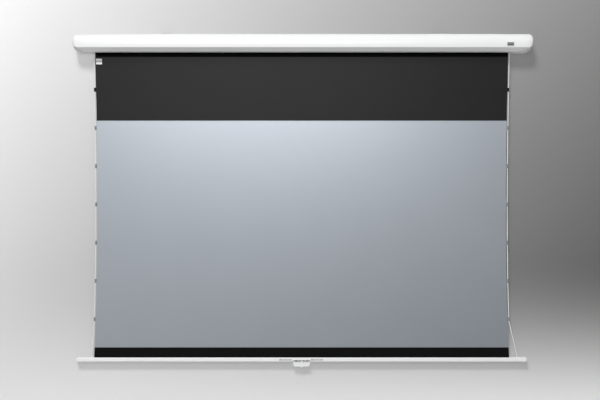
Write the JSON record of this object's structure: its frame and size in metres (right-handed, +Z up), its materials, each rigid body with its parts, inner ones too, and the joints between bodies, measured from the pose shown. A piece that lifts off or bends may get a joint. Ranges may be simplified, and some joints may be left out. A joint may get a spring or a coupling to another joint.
{
  "type": "pull down projector screen",
  "caption": "Manual pull down projection screen with side tension cords: long white housing, spring roller, grey viewing surface and a weight bar with a hanging pull handle.",
  "frame": {"origin": "on the wall plane, halfway along the housing's extrusions and at the housing's mid height", "axes": "+X to the viewer's right along the housing, +Y into the wall, +Z up"},
  "size_m": [2.1072, 0.0903, 1.5365],
  "materials": {
    "white_case": "gloss",
    "white_plastic": "gloss",
    "zinc_steel": "satin",
    "bright_steel": "polished",
    "spring_steel": "satin",
    "roller_aluminium": "satin",
    "grey_nylon": "satin",
    "black_fabric": "matte",
    "grey_fabric": "matte",
    "white_cord": "matte",
    "dark_plastic": "satin",
    "badge": "satin",
    "label": "satin"
  },
  "bodies": {
    "housing": {"rear_housing": "white_case", "front_cover": "white_case", "lower_front_rail": "white_case", "left_end_cap": "white_plastic", "right_end_cap": "white_plastic", "left_end_plate": "zinc_steel", "right_end_plate": "zinc_steel", "left_plate_screw_upper": "bright_steel", "left_plate_screw_lower": "bright_steel", "right_plate_screw_upper": "bright_steel", "right_plate_screw_lower": "bright_steel", "left_cap_screw": "bright_steel", "right_cap_screw": "bright_steel", "left_wall_bracket": "zinc_steel", "right_wall_bracket": "zinc_steel", "badge_plate": "badge", "spring_shaft": "bright_steel", "drive_spring": "spring_steel", "ratchet_disc": "zinc_steel", "idle_pin": "bright_steel", "drop_fabric": "black_fabric", "viewing_fabric": "grey_fabric", "hem_fabric": "black_fabric", "fabric_label": "label", "left_tab_1": "black_fabric", "left_tab_2": "grey_fabric", "left_tab_3": "grey_fabric", "left_tab_4": "grey_fabric", "left_tab_5": "grey_fabric", "left_tab_6": "grey_fabric", "left_tab_7": "grey_fabric", "right_tab_1": "black_fabric", "right_tab_2": "grey_fabric", "right_tab_3": "grey_fabric", "right_tab_4": "grey_fabric", "right_tab_5": "grey_fabric", "right_tab_6": "grey_fabric", "right_tab_7": "grey_fabric", "left_tension_cord": "white_cord", "right_tension_cord": "white_cord"},
    "roller": {"roller_tube": "roller_aluminium", "idle_plug": "grey_nylon", "drive_plug": "grey_nylon", "shaft_bush": "grey_nylon", "wound_fabric": "black_fabric"},
    "upper_pawl": {"upper_pawl": "zinc_steel"},
    "lower_pawl": {"lower_pawl": "zinc_steel"},
    "bar": {"weight_bar": "white_case", "left_bar_cap": "white_plastic", "right_bar_cap": "white_plastic", "hem_rod": "bright_steel", "left_cord_guide": "white_plastic", "right_cord_guide": "white_plastic", "handle_clip": "dark_plastic", "handle_pin": "bright_steel"},
    "handle": {"pull_handle": "white_plastic"},
    "left_block": {"left_tension_block": "zinc_steel"},
    "right_block": {"right_tension_block": "zinc_steel"},
    "left_adjuster": {"left_tension_screw": "bright_steel"},
    "right_adjuster": {"right_tension_screw": "bright_steel"}
  },
  "joints": [
    {"name": "screen_travel", "type": "slide", "parent": "housing", "child": "bar", "axis": [0, 0, 1], "range_m": [0, 1.402], "deforming": ["drop_fabric", "viewing_fabric", "hem_fabric", "fabric_label", "left_tab_1", "left_tab_2", "left_tab_3", "left_tab_4", "left_tab_5", "left_tab_6", "left_tab_7", "right_tab_1", "right_tab_2", "right_tab_3", "right_tab_4", "right_tab_5", "right_tab_6", "right_tab_7", "left_tension_cord", "right_tension_cord"]},
    {"name": "roller_spin", "type": "hinge", "parent": "housing", "child": "roller", "pos_m": [0, -0.0514, 0], "axis": [1, 0, 0], "range_deg": [0, 2880]},
    {"name": "upper_pawl_swing", "type": "hinge", "parent": "roller", "child": "upper_pawl", "pos_m": [-0.9928, -0.0514, 0.019], "axis": [1, 0, 0], "range_deg": [-25, 0]},
    {"name": "lower_pawl_swing", "type": "hinge", "parent": "roller", "child": "lower_pawl", "pos_m": [-0.9928, -0.0514, -0.019], "axis": [1, 0, 0], "range_deg": [0, 25]},
    {"name": "handle_swing", "type": "hinge", "parent": "bar", "child": "handle", "pos_m": [-0.006, -0.0306, -1.463], "axis": [1, 0, 0], "range_deg": [-80, 35]},
    {"name": "left_adjuster_turn", "type": "hinge", "parent": "bar", "child": "left_adjuster", "pos_m": [-1.0423, -0.024, -1.4561], "axis": [1, 0, 0], "range_deg": [-1350, 1350]},
    {"name": "left_block_slide", "type": "slide", "parent": "bar", "child": "left_block", "axis": [1, 0, 0], "range_m": [-0.003, 0.003]},
    {"name": "right_adjuster_turn", "type": "hinge", "parent": "bar", "child": "right_adjuster", "pos_m": [1.0303, -0.024, -1.4561], "axis": [1, 0, 0], "range_deg": [-1350, 1350]},
    {"name": "right_block_slide", "type": "slide", "parent": "bar", "child": "right_block", "axis": [1, 0, 0], "range_m": [-0.003, 0.003]}
  ],
  "couplings": [
    {"joint": "roller_spin", "follows": "screen_travel", "rad_per_m": 35.853},
    {"joint": "left_adjuster_turn", "follows": "left_block_slide", "rad_per_m": -7854},
    {"joint": "right_adjuster_turn", "follows": "right_block_slide", "rad_per_m": -7854}
  ]
}
